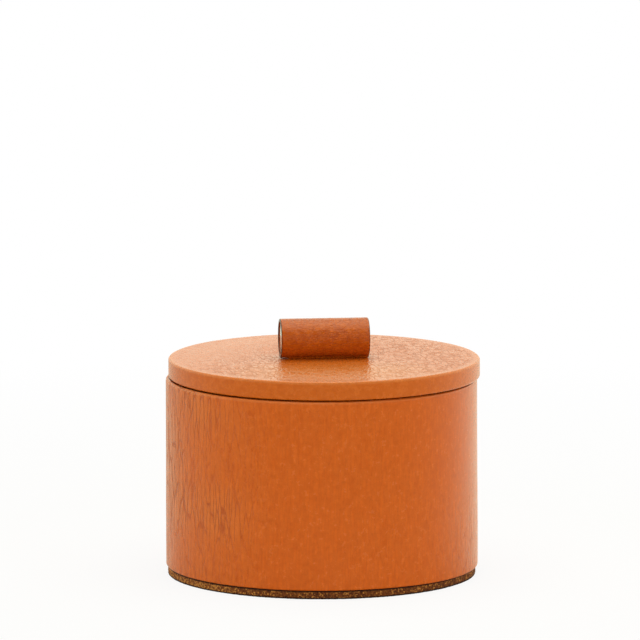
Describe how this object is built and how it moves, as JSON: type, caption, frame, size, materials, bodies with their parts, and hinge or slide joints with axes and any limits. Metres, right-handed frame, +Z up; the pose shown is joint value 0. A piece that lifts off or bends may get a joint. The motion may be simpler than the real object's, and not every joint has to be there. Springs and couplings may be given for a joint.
{
  "type": "leather jewelry box",
  "caption": "Round leather-covered box on a granular pad, with a flat lift-off lid, a rolled leather handle with metal ends, a suede lining and a padded floor.",
  "frame": {"origin": "centre of the underside of the pad that the box stands on", "axes": "+Z up along the box's axis, -Y towards the front, +X to the right along the handle"},
  "size_m": [0.1412, 0.14, 0.1156],
  "materials": {
    "leather": "full-grain cowhide, tan orange, low sheen",
    "suede": "suede nap, matt",
    "board": "fibreboard, bare, hidden",
    "card": "grey card, bare, hidden",
    "foam": "soft foam, hidden",
    "cork_pad": "granular, matt, cut edge",
    "polished_metal": "polished",
    "zinc_steel": "zinc plated"
  },
  "bodies": {
    "box": {"body_tube": "board", "body_floor": "board", "body_leather": "leather", "base_infill": "card", "base_pad": "cork_pad", "wall_lining": "suede", "cushion_card": "card", "cushion_foam": "foam", "cushion_suede": "suede"},
    "lid": {"lid_board": "board", "lid_leather": "leather", "lid_infill": "card", "lid_plug": "board", "plug_suede": "suede", "handle_core": "polished_metal", "handle_leather": "leather", "handle_screws": "zinc_steel", "handle_washers": "zinc_steel"}
  },
  "joints": [
    {"name": "lid_lift", "type": "slide", "parent": "box", "child": "lid", "axis": [0, 0, 1], "range_m": [0, 0.12]}
  ]
}
